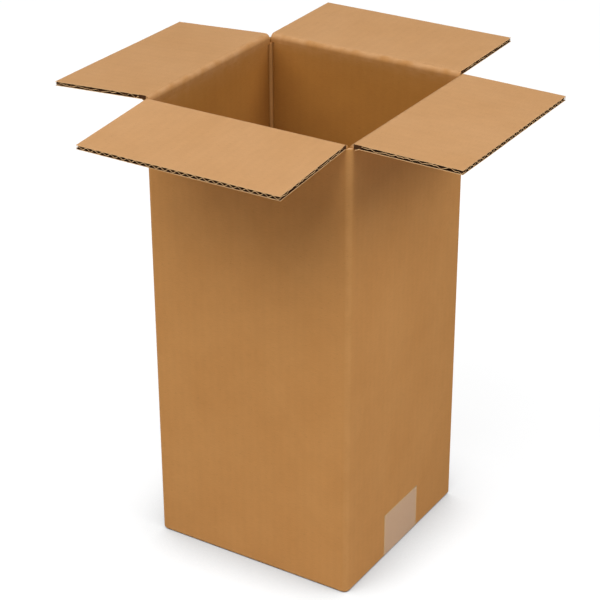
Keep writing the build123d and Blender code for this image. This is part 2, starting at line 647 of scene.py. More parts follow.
class SheetMesh:
    """Collects points, faces and board coordinates, and turns them into one object."""

    def __init__(self) -> None:
        """Starts with nothing."""
        self.points: list[Vector] = []
        self.uvs: list[Point] = []
        self.wear: list[float] = []
        self.faces: list[list[int]] = []
        self.slots: list[int] = []

    def point(self, place: Sequence[float], uv: Point, wear: float = 0.0) -> int:
        """Adds a point.

        Args:
            place: its coordinates.
            uv: metres across and along the flutes.
            wear: how worn the liner is there, and near the creases and on the tape's edges how much painted
                light it gets, from 0 to 1.

        Returns:
            Its number.
        """
        self.points.append(Vector(place))
        self.uvs.append(uv)
        self.wear.append(wear)
        return len(self.points) - 1

    def face(self, corners: Sequence[int], slot: Face) -> None:
        """Adds a face, leaving out corners that repeat.

        Args:
            corners: point numbers, in order.
            slot: the material slot.
        """
        kept = [c for i, c in enumerate(corners) if c != corners[i - 1]]
        if len(set(kept)) > 2:
            self.faces.append(kept)
            self.slots.append(slot.value)

    def bridge(self, first: Sequence[int], second: Sequence[int], slot: Face) -> None:
        """Joins two rows of points by quads.

        Args:
            first: one row.
            second: the other row, as long.
            slot: the material slot.
        """
        for i in range(len(first) - 1):
            self.face([first[i], first[i + 1], second[i + 1], second[i]], slot)

    def tube(self, rings: Sequence[Sequence[int]], slot: Face) -> None:
        """Joins closed rings of points, each to the next.

        Args:
            rings: the rings, all as long.
            slot: the material slot.
        """
        for a, b in zip(rings, rings[1:]):
            self.bridge([*a, a[0]], [*b, b[0]], slot)

    def build(
        self,
        name: str,
        materials: Sequence[bpy.types.Material],
        place: Matrix = STILL,
        sharp: float = 32.0,
    ) -> bpy.types.Object:
        """Makes the object, with its place in its mesh.

        Args:
            name: the piece's name.
            materials: one material per slot.
            place: moves the mesh into the carton's frame.
            sharp: edges that turn more than this many degrees stay sharp.

        Returns:
            The new object.
        """
        mesh = bpy.data.meshes.new(name)
        mesh.from_pydata([place @ p for p in self.points], [], self.faces)
        layer = mesh.uv_layers.new(name=UV_NAME)
        corners = np.zeros(len(mesh.loops), dtype=np.int32)
        mesh.loops.foreach_get("vertex_index", corners)
        layer.data.foreach_set("uv", np.array(self.uvs, dtype=np.float32)[corners].ravel())
        wear = mesh.attributes.new(WEAR_AND_LIGHT_NAME, "FLOAT", "POINT")
        wear.data.foreach_set("value", np.array(self.wear, dtype=np.float32))
        mesh.polygons.foreach_set("material_index", np.array(self.slots, dtype=np.int32))
        for material in materials:
            mesh.materials.append(material)
        tidy_mesh(mesh, sharp)
        return add_object(name, mesh)


def tidy_mesh(mesh: bpy.types.Mesh, sharp: float) -> None:
    """Merges doubles, points the faces outwards and sets smooth shading with sharp edges.

    Args:
        mesh: the mesh to finish.
        sharp: the angle in degrees from which an edge is sharp.
    """
    work = bmesh.new()
    work.from_mesh(mesh)
    bmesh.ops.remove_doubles(work, verts=work.verts, dist=MERGE)
    bmesh.ops.recalc_face_normals(work, faces=work.faces)
    work.to_mesh(mesh)
    work.free()
    mesh.shade_smooth()
    mesh.set_sharp_from_angle(angle=math.radians(sharp))


def add_object(name: str, data: Any) -> bpy.types.Object:
    """Links a mesh, lamp or camera into the scene as a new object at the origin.

    Args:
        name: the object's name.
        data: its mesh, lamp or camera.

    Returns:
        The object.
    """
    made = bpy.data.objects.new(name, data)
    bpy.context.scene.collection.objects.link(made)
    return made


def ripple(place: Sequence[float], wave: float) -> float:
    """Smooth fixed noise between about -1 and 1.

    Args:
        place: where it is read, in metres.
        wave: the size of its ripples, in metres.

    Returns:
        The noise value.
    """
    return noise.noise(Vector(place) / wave) * RIPPLE_GAIN


# Flutes


@dataclass(frozen=True)
class FluteTree:
    """A node tree that makes the wavy medium of a rectangle of board.

    The sheet lies along X with its waves along Y, from the crease side to the cut edge.
    """

    name: str = "wavy_medium"
    waves_detail: int = 14
    peak: float = 0.975
    wander_scale: float = 90.0
    crumple_scale: float = 240.0
    noise_detail: float = 2.0
    noise_swing: float = 2.0
    squeeze: float = 0.75
    ruffle: float = 1.5

    def group(self) -> bpy.types.NodeTree:
        """The tree, built when it is first asked for."""
        return bpy.data.node_groups.get(self.name) or self.build()

    def build(self) -> bpy.types.NodeTree:
        """Builds the tree with its named inputs.

        Returns:
            The tree.
        """
        group = bpy.data.node_groups.new(self.name, "GeometryNodeTree")
        sizes = ("Start", "Length", "Width", "Middle", "Pitch", "Wave", "Thickness", "Torn", "Jitter", "Seed")
        sockets = [("Geometry", "NodeSocketGeometry")]
        sockets += [(label, "NodeSocketFloat") for label in sizes]
        sockets += [(label, "NodeSocketInt") for label in ("Steps", "Rows")]
        sockets += [(label, "NodeSocketMaterial") for label in ("Material", "Cut Edge")]
        for label, kind in sockets:
            group.interface.new_socket(label, in_out="INPUT", socket_type=kind)
        group.interface.new_socket("Geometry", in_out="OUTPUT", socket_type="NodeSocketGeometry")
        tree = NodeTree(group)
        given = tree.add("NodeGroupInput").outputs
        grid = tree.add(
            "GeometryNodeMeshGrid",
            {0: given["Length"], 1: given["Width"], 2: given["Rows"], 3: given["Steps"]},
        )
        shift = tree.add(
            "ShaderNodeCombineXYZ",
            {
                0: tree.math("MULTIPLY_ADD", given["Length"], 0.5, given["Start"]),
                2: self.level(tree, given),
            },
        )
        moved = tree.add("GeometryNodeSetPosition", {"Geometry": grid.outputs[0], "Offset": shift.outputs[0]})
        upper = tree.add(
            "GeometryNodeExtrudeMesh",
            {"Mesh": moved.outputs[0], "Offset Scale": given["Thickness"], "Individual": False},
        )
        under = tree.add("GeometryNodeFlipFaces", {0: moved.outputs[0]})
        joined = tree.add("GeometryNodeJoinGeometry")
        for half in (upper, under):
            tree.feed(joined.inputs[0], half.outputs[0])
        merged = tree.add("GeometryNodeMergeByDistance", {"Geometry": joined.outputs[0], "Distance": TOUCH})
        real = tree.add("GeometryNodeRealizeInstances", {0: merged.outputs[0]})
        dressed = tree.add(
            "GeometryNodeSetMaterial", {"Geometry": real.outputs[0], "Material": given["Material"]}
        )
        edged = tree.add(
            "GeometryNodeSetMaterial",
            {
                "Geometry": dressed.outputs[0],
                "Selection": upper.outputs["Side"],
                "Material": given["Cut Edge"],
            },
        )
        tree.add("NodeGroupOutput", {0: edged.outputs[0]})
        return group

    def level(self, tree: NodeTree, given: Any) -> bpy.types.NodeSocket:
        """Adds the height of the medium's underside: waves that wander a little, crumpled at the torn sides.

        Args:
            tree: the tree that gets it.
            given: the tree's inputs.

        Returns:
            The height.
        """
        place = tree.add("GeometryNodeInputPosition").outputs[0]
        along, across, _ = tree.add("ShaderNodeSeparateXYZ", {0: place}).outputs
        wander = self.noise(tree, given["Seed"], across, self.wander_scale)
        turn = tree.math("MULTIPLY", tree.math("DIVIDE", across, given["Pitch"]), 2 * math.pi)
        phase = tree.math("MULTIPLY_ADD", wander, given["Jitter"], turn)
        peak = tree.math("MULTIPLY", tree.math("SINE", phase), self.peak)
        flank = tree.math("MULTIPLY", tree.math("ARCSINE", peak), 1.0 / math.asin(self.peak))
        height = tree.math("MULTIPLY", flank, given["Wave"])

        inner = tree.math("SUBTRACT", tree.math("MULTIPLY", given["Width"], 0.5), given["Torn"])
        beyond = tree.math("SUBTRACT", tree.math("ABSOLUTE", across), inner)
        torn = tree.math("DIVIDE", beyond, given["Torn"], clamp=True)
        crumple = self.noise(tree, along, across, self.crumple_scale)
        squeezed = tree.math("MULTIPLY", height, tree.math("MULTIPLY_ADD", torn, -self.squeeze, 1.0))
        ruffle = tree.math("MULTIPLY", tree.math("MULTIPLY", crumple, torn), given["Wave"])
        raised = tree.math("MULTIPLY_ADD", ruffle, self.ruffle, squeezed)
        middle = tree.math("SUBTRACT", given["Middle"], tree.math("MULTIPLY", given["Thickness"], 0.5))
        return tree.math("ADD", raised, middle)

    def noise(
        self, tree: NodeTree, x: bpy.types.NodeSocket, y: bpy.types.NodeSocket, scale: float
    ) -> bpy.types.NodeSocket:
        """Adds noise about 0 to the tree.

        Args:
            tree: the tree that gets it.
            x: the first coordinate.
            y: the second coordinate.
            scale: cycles in a metre.

        Returns:
            The value, between about -1 and 1.
        """
        place = tree.add("ShaderNodeCombineXYZ", {0: x, 1: y}).outputs[0]
        texture = tree.add(
            "ShaderNodeTexNoise", {"Vector": place, "Scale": scale, "Detail": self.noise_detail}
        )
        return tree.math("MULTIPLY_ADD", texture.outputs["Fac"], 2 * self.noise_swing, -self.noise_swing)

    def mesh(self, name: str, values: dict[str, Any]) -> bpy.types.Object:
        """Runs the tree and keeps its result as a plain mesh.

        Args:
            name: the piece's name.
            values: the tree's inputs, by name.

        Returns:
            The object.
        """
        group = self.group()
        carrier = add_object(name + "_carrier", bpy.data.meshes.new(name + "_carrier"))
        modifier = carrier.modifiers.new("flutes", "NODES")
        modifier.node_group = group
        for item in group.interface.items_tree:
            if item.in_out == "INPUT" and item.name in values:
                modifier[item.identifier] = values[item.name]
        bpy.context.view_layer.update()
        graph = bpy.context.evaluated_depsgraph_get()
        mesh = bpy.data.meshes.new_from_object(carrier.evaluated_get(graph), depsgraph=graph)
        carrier.modifiers.clear()
        bpy.data.objects.remove(carrier)
        mesh.name = name
        return add_object(name, mesh)


# Pieces of board


@dataclass
class FluteSheet:
    """The wavy medium of one flap, with its ends open to view."""

    name: str
    body: str
    place: Matrix
    start: float
    length: float
    width: float
    middle: float
    seed: float
    board: Board
    tree: FluteTree = FluteTree()
    clearance: float = 0.02 * MM
    torn: float = 2.6 * MM
    jitter: float = 0.22
    rows: int = 44
    sharp: float = 50.0

    def build(self, finishes: Finishes) -> bpy.types.Object:
        """Makes the medium and lets it ride on its body.

        Args:
            finishes: the carton's materials.

        Returns:
            The piece.
        """
        steps = int(round(self.width / self.board.pitch * self.tree.waves_detail)) + 1
        # The medium's faces are painted almost black as the shade in the flutes; its cut edges keep the raw
        # fibre.
        piece = self.tree.mesh(
            self.name,
            {
                "Start": self.start,
                "Length": self.length,
                "Width": self.width,
                "Middle": self.middle,
                "Pitch": self.board.pitch,
                "Wave": self.board.wave - self.clearance,
                "Thickness": self.board.medium,
                "Torn": self.torn,
                "Jitter": self.jitter,
                "Seed": self.seed,
                "Steps": steps,
                "Rows": self.rows,
                "Material": finishes.board[Face.HOLLOW.value],
                "Cut Edge": finishes.board[Face.RAW.value],
            },
        )
        piece.data.transform(self.place)
        tidy_mesh(piece.data, self.sharp)
        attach(piece, self.body)
        return piece


@dataclass
class FlapBoard:
    """The board of one flap: two liners, joined in its crushed heel, with ragged cut edges, and its flutes.

    Coordinates are out from the score line, along it and up from it. The heel is the outline of the crushed
    part, from the outer liner's inside at the mitre; the liner's inside line leads from there to the flutes.
    """

    name: str
    body: str
    place: Matrix
    width: float
    length: float
    lift: float
    heel_top: float
    heel: Sequence[Point]
    liner_line: Sequence[Point]
    board: Board
    uv_start: Point
    seed: float
    upper: Face = Face.INSIDE
    lower: Face = Face.OUTSIDE
    bow: float = 0.1 * MM
    bow_wave: float = 70.0 * MM
    tear: float = 0.6
    end_tear_wave: float = 2.3 * MM
    end_inset: float = 0.5
    side_tear_wave: float = 2.9 * MM
    side_tear_layer: float = 0.4
    side_inset: float = 0.8
    rub: float = 0.5
    rub_reach: float = 1.5 * MM
    flute_bite: float = 0.5 * MM
    flute_side_inset: float = 0.5 * MM
    flute_end_inset: float = 0.12 * MM
    rows: int = 34
    columns: int = 60

    def build(self, finishes: Finishes, replaced: str | None = None) -> list[bpy.types.Object]:
        """Makes the liners and the flutes between them.

        Args:
            finishes: the carton's materials.
            replaced: the node that the liners stand for, if any.

        Returns:
            The two pieces.
        """
        return [self.liners(finishes, replaced), self.flutes().build(finishes)]

    def flutes(self) -> FluteSheet:
        """Sizes the flutes between the liners.

        Returns:
            The flutes.
        """
        first = self.heel_top + self.board.crush - self.flute_bite
        return FluteSheet(
            name=self.name + "_flutes",
            body=self.body,
            place=self.place,
            start=first,
            length=self.length - first - self.flute_end_inset,
            width=self.width - self.flute_side_inset,
            middle=self.lift + self.board.core,
            seed=self.seed,
            board=self.board,
        )

    def liners(self, finishes: Finishes, replaced: str | None) -> bpy.types.Object:
        """Makes the liners and lets them ride on their body.

        Args:
            finishes: the carton's materials.
            replaced: the node that the piece stands for, if any.

        Returns:
            The piece.
        """
        sheet = SheetMesh()
        top = self.lift + self.board.thickness
        levels = {
            "top": top,
            "upper": top - self.board.inner_liner,
            "lower": self.lift + self.board.outer_liner,
            "base": self.lift,
        }
        outs = np.linspace(self.heel_top + self.board.crush, self.length, self.rows + 1)
        alongs = np.linspace(-self.width / 2, self.width / 2, self.columns + 1)
        sections = []
        for along in alongs:
            end = abs(along) > self.width / 2 - TINY
            section: Section = {}
            for key, level in levels.items():
                section[key] = [self.corner(sheet, out, along, level, end) for out in outs]
            heel = [(self.heel_top, top), *self.heel]
            section["heel"] = [self.corner(sheet, out, along, level, end) for out, level in heel]
            sections.append(section)
        for a, b in zip(sections, sections[1:]):
            self.skin(sheet, a, b)
        for section, along, turn in ((sections[0], alongs[0], 1), (sections[-1], alongs[-1], -1)):
            line = [self.corner(sheet, out, along, level, True) for out, level in self.liner_line]
            self.cap(sheet, section, line, turn)
        piece = sheet.build(self.name + "_liners", finishes.board, self.place)
        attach(piece, self.body)
        if replaced:
            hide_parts(replaced)
        return piece

    def corner(self, sheet: SheetMesh, out: float, along: float, level: float, end: bool) -> int:
        """Adds one point, with the raggedness of a cut edge.

        Args:
            sheet: the mesh being made.
            out: distance from the score line.
            along: place along the score line.
            level: height above the score line.
            end: whether it lies on a side edge.

        Returns:
            The point's number.
        """
        rough = self.board.ragged
        out_shift = along_shift = 0.0
        if out > self.length - TINY:
            torn = self.tear * ripple((along, level, 0.0), self.end_tear_wave)
            out_shift = rough * (torn - self.end_inset)
        if end:
            torn = self.tear * ripple((out, level, self.side_tear_layer), self.side_tear_wave)
            along_shift = -math.copysign(rough * (torn + self.side_inset), along)
        reach = min(1.0, max(0.0, out / self.length))
        bow = self.bow * ripple((out, along, self.width), self.bow_wave) * reach
        edge = max(0.0, 1.0 - (self.length - out) / self.rub_reach, 1.0 if end else 0.0)
        uv = (self.uv_start[0] + along, self.uv_start[1] + out)
        return sheet.point((out + out_shift, along + along_shift, level + bow), uv, self.rub * edge)

    def skin(self, sheet: SheetMesh, a: Section, b: Section) -> None:
        """Joins two neighbouring sections.

        Args:
            sheet: the mesh being made.
            a: one section.
            b: the next section.
        """
        # The liners' inner faces and the core at the heel are painted almost black: painted shade in the
        # flutes.
        faces = {"top": self.upper, "base": self.lower, "upper": Face.HOLLOW, "lower": Face.HOLLOW}
        for key, slot in faces.items():
            sheet.bridge(a[key], b[key], slot)
        for first, second, end, slot in (
            ("top", "upper", -1, Face.RAW),
            ("base", "lower", -1, Face.RAW),
            ("upper", "lower", 0, Face.HOLLOW),
        ):
            sheet.face([a[first][end], b[first][end], b[second][end], a[second][end]], slot)
        heel_a, heel_b = ([s["top"][0], *s["heel"], s["base"][0]] for s in (a, b))
        slots = [self.upper, Face.RAW, Face.RAW, *[self.lower] * len(self.heel)]
        for i, slot in zip(range(len(heel_a) - 1), slots):
            sheet.face([heel_a[i], heel_a[i + 1], heel_b[i + 1], heel_b[i]], slot)

    def cap(self, sheet: SheetMesh, section: Section, line: list[int], turn: int) -> None:
        """Closes a side edge.

        Args:
            sheet: the mesh being made.
            section: the section at that edge.
            line: points of the outer liner's inside line in the heel.
            turn: 1 or -1, for the way the faces run.
        """
        for first, second in (("top", "upper"), ("lower", "base")):
            rows = (section[first], section[second])
            sheet.bridge(*rows[::turn], Face.RAW)
        mitre, liner, *under = section["heel"]
        inside = [liner, *line, section["lower"][0]]
        # The core at a side edge is one flat face painted almost black: painted shade of the open flutes.
        core = [section["top"][0], mitre, *inside, section["upper"][0]]
        sheet.face(core[::turn], Face.HOLLOW)
        skin = [*inside[::-1], *under, section["base"][0]]
        sheet.face(skin[::turn], Face.RAW)


@dataclass
class Bend:
    """The rounded crease between a wall and its top flap, in a wall half and a flap half.

    Both halves fill the notch between the two mitres. The wall half stays on the carton and the flap half
    turns with its flap.
    """

    hinge: Hinge
    sizes: CartonSizes
    board: Board
    steps: int = 9
    columns: int = 40
    ease: float = 0.12 * MM
    split: float = 0.01 * MM
    wall_side_gap: float = 0.06 * MM
    flap_side_gap: float = 0.16 * MM
    flat: float = 0.02
    swell: float = 0.1 * MM
    swell_wave: float = 23.0 * MM
    wear: float = 0.12
    # The wall half's lining is painted paler up to this much towards the crease's crown: painted light.
    crown_painted_light: float = 1.7

    @property
    def top(self) -> float:
        """Height of the flap's inside face above the score line."""
        return self.hinge.lift + self.board.thickness

    @property
    def reach(self) -> float:
        """Distance out of the flap's mitre at its inside face."""
        return self.top + self.sizes.mitre_gap

    @property
    def centre(self) -> Point:
        """Middle of the crease's arc (out, up)."""
        return (self.sizes.bend_radius - self.board.thickness, self.top - self.sizes.bend_radius)

    def arc(self, inset: float, low: float, high: float) -> list[Point]:
        """Points of the rounded crease from the wall's inside face over to the flap.

        Args:
            inset: how far the arc is drawn in.
            low: lowest distance out that is kept.
            high: highest distance out that is kept.

        Returns:
            Points (out, up), from the wall to the flap.
        """
        radius = self.sizes.bend_radius - inset
        points = []
        for angle in np.linspace(math.pi, math.pi / 2, 2 * self.steps + 1):
            out = self.centre[0] + radius * math.cos(angle)
            if low - TINY <= out <= high + TINY:
                points.append((out, self.centre[1] + radius * math.sin(angle)))
        return points

    def level(self, out: float) -> float:
        """Height of the crease's crown at a distance out from the score line."""
        return self.centre[1] + math.sqrt(self.sizes.bend_radius**2 - (out - self.centre[0]) ** 2)

    def edge(self, level: float) -> float:
        """Distance out of the drawn-in arc at a height above the score line."""
        radius = self.sizes.bend_radius - self.ease
        return self.centre[0] - math.sqrt(radius**2 - (level - self.centre[1]) ** 2)

    def wall_outline(self) -> list[Point]:
        """Section of the wall half, from the score line round by the wall's inside face."""
        t = self.board.thickness
        return [(0.0, 0.0), (-t, -t), *self.arc(0.0, -t, -self.split), (0.0, self.level(0.0))]

    def flap_outline(self) -> list[Point]:
        """Section of the flap half, which stays above the flap's outer face.

        Returns:
            Points (out, up).
        """
        base = self.hinge.lift
        under = self.arc(self.ease, -self.board.thickness, 0.0)
        return [
            (base + self.sizes.mitre_gap, base),
            (self.edge(base), base),
            *[p for p in under if p[1] > base + self.split],
            (0.0, self.level(0.0)),
            *self.arc(0.0, self.split, self.sizes.bend_radius),
            (self.reach, self.top),
        ]

    def build(self, finishes: Finishes) -> list[bpy.types.Object]:
        """Makes both halves and ties them to their bodies.

        Args:
            finishes: the carton's materials.

        Returns:
            The two pieces.
        """
        hinge, side = self.hinge, self.hinge.side
        wall_place, flap_place = hinge.wall_place(), hinge.flap_place()
        wall_half = self.extrude(self.wall_outline(), Face.LINING, self.wall_side_gap).build(
            side.label + "_wall_bend", finishes.board, wall_place
        )
        flap_half = self.extrude(self.flap_outline(), Face.INSIDE, self.flap_side_gap).build(
            side.label + "_flap_bend", finishes.board, flap_place
        )
        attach(wall_half, CARTON)
        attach(flap_half, side.flap)
        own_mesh(wall_half)
        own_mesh(flap_half)
        return [wall_half, flap_half]

    def extrude(self, outline: Sequence[Point], skin: Face, side_gap: float) -> SheetMesh:
        """Runs an outline along the score line.

        Args:
            outline: points (out, up) of the section.
            skin: the finish of its rounded face.
            side_gap: how far its ends stay inside the flap's side edges.

        Returns:
            The mesh, in score-line coordinates.
        """
        sheet = SheetMesh()
        half = self.hinge.width / 2 - side_gap
        across = self.sizes.wall_start(self.hinge.side)
        rings = []
        for along in np.linspace(-half, half, self.columns + 1):
            ring = []
            for out, up in outline:
                uv = (across + along, self.hinge.score + out + up)
                fade = max(0.0, 1.0 - abs(out) / self.sizes.bend_radius) if up > 0 else 0.0
                swell = self.swell * fade * ripple((along, 0.0, self.hinge.distance), self.swell_wave)
                ring.append(sheet.point((out, along, up + swell), uv, self.worn_and_lit(up, skin)))
            rings.append(ring)
        sheet.tube(rings, skin)
        # The flap half's ends are painted almost black, painted shade in the corner gaps; the wall half's
        # ends take the lining.
        end = Face.LINING if skin is Face.LINING else Face.HOLLOW
        sheet.face(rings[0], end)
        sheet.face(rings[-1][::-1], end)
        return sheet

    def worn_and_lit(self, up: float, skin: Face) -> float:
        """How worn the crease is on the flap half, and on the wall half how much painted light it gets, more
        and more towards its crown.

        Args:
            up: height above the score line.
            skin: the finish of the half's rounded face.

        Returns:
            The wear on the flap half, the painted light on the wall half.
        """
        if skin is not Face.LINING:
            return self.wear
        t, start = self.board.thickness, self.sizes.crease_painted_light
        rise = min(1.0, max(0.0, (up + t) / (self.top + t)))
        return start + (self.crown_painted_light - start) * rise**2


@dataclass
class Station:
    """One upright line of the wall sheet: where its two faces stand, and how high they reach.

    The crown is the height of the flap's mitre over an outer face that is set back.
    """

    outer: Point
    inner: Point
    run: float
    head: Point
    crown: float
    fold: float

    @property
    def inwards(self) -> Vector:
        """Direction from the outer face to the inner face."""
        return (Vector(self.inner) - Vector(self.outer)).normalized()

    @property
    def mitred(self) -> bool:
        """True where a flap folds, so that the inner face ends lower."""
        return self.head[0] > self.head[1]

    def meets(self, other: Station) -> bool:
        """True where another strip's end stands on the same line."""
        pairs = ((self.outer, other.outer), (self.inner, other.inner))
        return other is not self and all(math.dist(a, b) < TOUCH for a, b in pairs)


@dataclass
class WallSheet:
    """The four walls: one sheet folded round, from the right wall's raw edge to the fold of the glued tab.

    A row holds a station's outer place and setback and its inner place and setback, on a right-hand wall.
    """

    sizes: CartonSizes
    board: Board
    panel_step: float = 8.0 * MM
    levels: int = 30
    foot_levels: int = 6
    top_level: float = 330.0 * MM
    post_steps: int = 6
    slot_rows: tuple[float, ...] = (0.0, 0.4 * MM, 0.8 * MM, 1.1 * MM)
    groove_span: Point = (1.4 * MM, 3.1 * MM)
    groove_rows: int = 11
    past_rows: Point = (3.6 * MM, 4.3 * MM)
    place_digits: int = 7
    open_edge: float = 0.7 * MM
    fold_wear: float = 0.45
    fold_wear_back: float = 0.4 * MM
    foot_wear: float = 0.8

    def build(self, finishes: Finishes) -> list[bpy.types.Object]:
        """Makes the sheet.

        Args:
            finishes: the carton's materials.

        Returns:
            The piece.
        """
        sheet = SheetMesh()
        strips = self.strips()
        heights = self.heights(strips)
        columns = [[self.column(sheet, s, heights) for s in strip] for strip in strips]
        ends = [strip[i] for strip in strips for i in (0, -1)]
        for number, (made, strip) in enumerate(zip(columns, strips)):
            for a, b in zip(made, made[1:]):
                sheet.bridge(a["outer"], b["outer"], Face.OUTSIDE)
                sheet.bridge(a["inner"], b["inner"], Face.LINING)
            opened = self.open_end(sheet, strip[0], made[0]) if number == 0 else []
            for level in (0, -1):
                for i, (a, b) in enumerate(zip(made, made[1:])):
                    rim = [a["outer"][level], b["outer"][level], b["inner"][level], a["inner"][level]]
                    notch = [row[level] for row in opened] if i == 0 else []
                    sheet.face([*rim, *notch], Face.RAW)
            if not opened:
                self.cut(sheet, strip[0], made[0], ends)
            self.cut(sheet, strip[-1], made[-1], ends)
        piece = sheet.build("carton_walls", finishes.board)
        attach(piece, CARTON)
        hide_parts("carton_body")
        return [piece]

    def heights(self, strips: Sequence[Sequence[Station]]) -> list[float]:
        """All levels at which the sheet has a row of points.

        Args:
            strips: the sheet's strips.

        Returns:
            The levels, from the floor up.
        """
        gap, radius = self.sizes.film_gap, self.sizes.foot_radius
        rows = {gap + radius * (1 - math.cos(a)) for a in np.linspace(0, math.pi / 2, self.foot_levels)}
        rows |= set(np.linspace(2 * radius, self.top_level, self.levels))
        rows |= {head for strip in strips for station in strip for head in station.head}
        return sorted(rows)

    def strips(self) -> list[list[Station]]:
        """The sheet's strips in order: the raw end, then each wall between its two half corners.

        Returns:
            The strips.
        """
        sizes = self.sizes
        strips: list[list[Station]] = []
        post = (sizes.score, sizes.score)
        for side in BLANK_ORDER:
            hinge, span = sizes.hinges[side], sizes.span(side)
            slot = span / 2 - sizes.slot_inset
            if side is Side.RIGHT:
                first = [(y, 0.0, y, 0.0) for y in (span / 2 - sizes.raw_setback, slot)]
            else:
                first = self.half_corner(span)[::-1]
            strips.append(self.stations(hinge, first, post))
            flat_head = (hinge.score, hinge.score - self.board.thickness)
            strips.append(self.stations(hinge, self.wall_rows(side, span, slot), flat_head))
            if side is not Side.BACK:
                last = [(-a, b, -c, d) for a, b, c, d in self.half_corner(span)]
                strips.append(self.stations(hinge, last, post))
        return strips

    def wall_rows(self, side: Side, span: float, slot: float) -> list[Row]:
        """Rows of a wall between its slots.

        Args:
            side: the wall.
            span: its length.
            slot: where its slots begin, from the middle.

        Returns:
            The rows, from the wall's start to its end.
        """
        t = self.board.thickness
        first = span / 2 if side is not Side.RIGHT else None
        last = span / 2 if side is not Side.BACK else span / 2 - t
        near = [*self.slot_rows, *np.linspace(*self.groove_span, self.groove_rows), *self.past_rows]
        ends = [round(float(slot - distance), self.place_digits) for distance in near]
        places = [*ends, *self.spread(ends[-1], -ends[-1])[1:-1], *[-y for y in ends[::-1]]]
        rows = []
        for y in places:
            corner = first if y > 0 else last
            scored = corner == span / 2
            outer_back = self.fold_back(corner, abs(y)) if corner else 0.0
            inner_back = -self.groove(span / 2 - t - abs(y)) if scored else 0.0
            rows.append((y, outer_back, y, inner_back))
        return rows

    def spread(self, start: float, end: float) -> list[float]:
        """Evenly spread places from start to end, at most a panel step apart."""
        count = max(1, math.ceil(abs(end - start) / self.panel_step))
        return [float(y) for y in np.linspace(start, end, count + 1)]

    def fold_back(self, corner: float, place: float) -> float:
        """How far the outer face is set back near a fold.

        Args:
            corner: the fold's sharp corner, from the wall's middle.
            place: the place along the wall, from its middle.

        Returns:
            The setback.
        """
        radius = self.sizes.fold_radius
        past = place - (corner - radius)
        return radius - math.sqrt(radius**2 - past**2) if past > 0 else 0.0

    def groove(self, away: float) -> float:
        """Depth of the pressed groove beside a fold's bead.

        Args:
            away: distance from the inside corner.

        Returns:
            The depth.
        """
        radius = self.sizes.groove_radius
        off = away - self.sizes.bead_radius - radius
        return math.sqrt(max(0.0, radius**2 - off**2))

    def half_corner(self, span: float) -> list[Row]:
        """Rows from a slot to the corner's diagonal.

        Args:
            span: the wall's length.

        Returns:
            The rows.
        """
        radius, inset = self.sizes.fold_radius, self.sizes.slot_inset
        first = math.asin((radius - inset) / radius)
        rows = []
        for share in np.linspace(0.0, 1.0, self.post_steps + 1):
            angle = first + share * (math.pi / 4 - first)
            outer = span / 2 - radius + radius * math.sin(angle)
            inner = span / 2 - inset + share * (inset - self.board.thickness)
            rows.append((outer, radius * (1 - math.cos(angle)), inner, 0.0))
        return rows

    def stations(self, hinge: Hinge, rows: Sequence[Row], head: Point) -> list[Station]:
        """Places rows of a right-hand wall on their own wall.

        Args:
            hinge: the wall's hinge.
            rows: the rows.
            head: height of the outer and of the inner face.

        Returns:
            The stations.
        """
        turn = hinge.side.turn()
        start = self.sizes.wall_start(hinge.side)
        made = []
        for outer_place, outer_back, inner_place, inner_back in rows:
            outer = turn @ Vector((hinge.distance - outer_back, outer_place, 0.0))
            inner = turn @ Vector((hinge.distance - self.board.thickness - inner_back, inner_place, 0.0))
            station = Station(
                outer=(outer.x, outer.y),
                inner=(inner.x, inner.y),
                run=start - outer_place,
                head=head,
                crown=head[0],
                fold=min(1.0, outer_back / self.fold_wear_back),
            )
            if station.mitred and outer_back > self.sizes.mitre_gap:
                station.crown -= outer_back
            made.append(station)
        return made

    def column(self, sheet: SheetMesh, station: Station, heights: Sequence[float]) -> Section:
        """Adds the two upright rows of points of a station.

        Args:
            sheet: the mesh being made.
            station: the station.
            heights: the sheet's levels.

        Returns:
            The point numbers of the outer and inner rows, from the foot up.
        """
        sizes = self.sizes
        rows: Section = {"outer": [], "inner": []}
        for z in heights:
            if z <= station.head[0] + TINY:
                up = max(0.0, sizes.film_gap + sizes.foot_radius - z)
                back = sizes.foot_radius - math.sqrt(max(0.0, sizes.foot_radius**2 - up**2))
                x, y = Vector(station.outer) + station.inwards * back
                wear = max(self.fold_wear * station.fold, self.foot_wear if up > 0 else 0.0)
                rows["outer"].append(sheet.point((x, y, min(z, station.crown)), (station.run, z), wear))
            if z <= station.head[1] + TINY:
                # Just below a flap's crease the lining is painted paler towards the top: painted light.
                near = max(0.0, 1.0 - (station.head[1] - z) / sizes.crease_light_reach)
                pale = sizes.crease_painted_light * near if station.mitred else 0.0
                uv = (station.run + sizes.inside_shift, z)
                rows["inner"].append(sheet.point((*station.inner, z), uv, pale))
        return rows

    def open_end(self, sheet: SheetMesh, station: Station, column: Section) -> list[list[int]]:
        """Shows the two liners and the sunk core of the board along the right wall's raw upright edge.

        Args:
            sheet: the mesh being made.
            station: the raw edge's station.
            column: its rows of points.

        Returns:
            The rows of points that lie between the inner face and the outer face.
        """
        inwards = station.inwards
        deeper = Vector((inwards.y, -inwards.x)) * self.open_edge
        if deeper.y * station.outer[1] > 0:
            deeper = -deeper
        rows = []
        for source, step in (("inner", -1), ("outer", 1)):
            liner = (inwards * (step * self.board.outer_liner)).to_3d()
            near = [sheet.points[p] + liner for p in column[source]]
            deep = [p + deeper.to_3d() for p in near]
            made = [[sheet.point(p, (station.run, p.z)) for p in line] for line in (near, deep)]
            rows += made[::-step]
        chain = [column["inner"], *rows, column["outer"]]
        for a, b in zip(chain, chain[1:]):
            sheet.bridge(a, b, Face.RAW)
        return rows

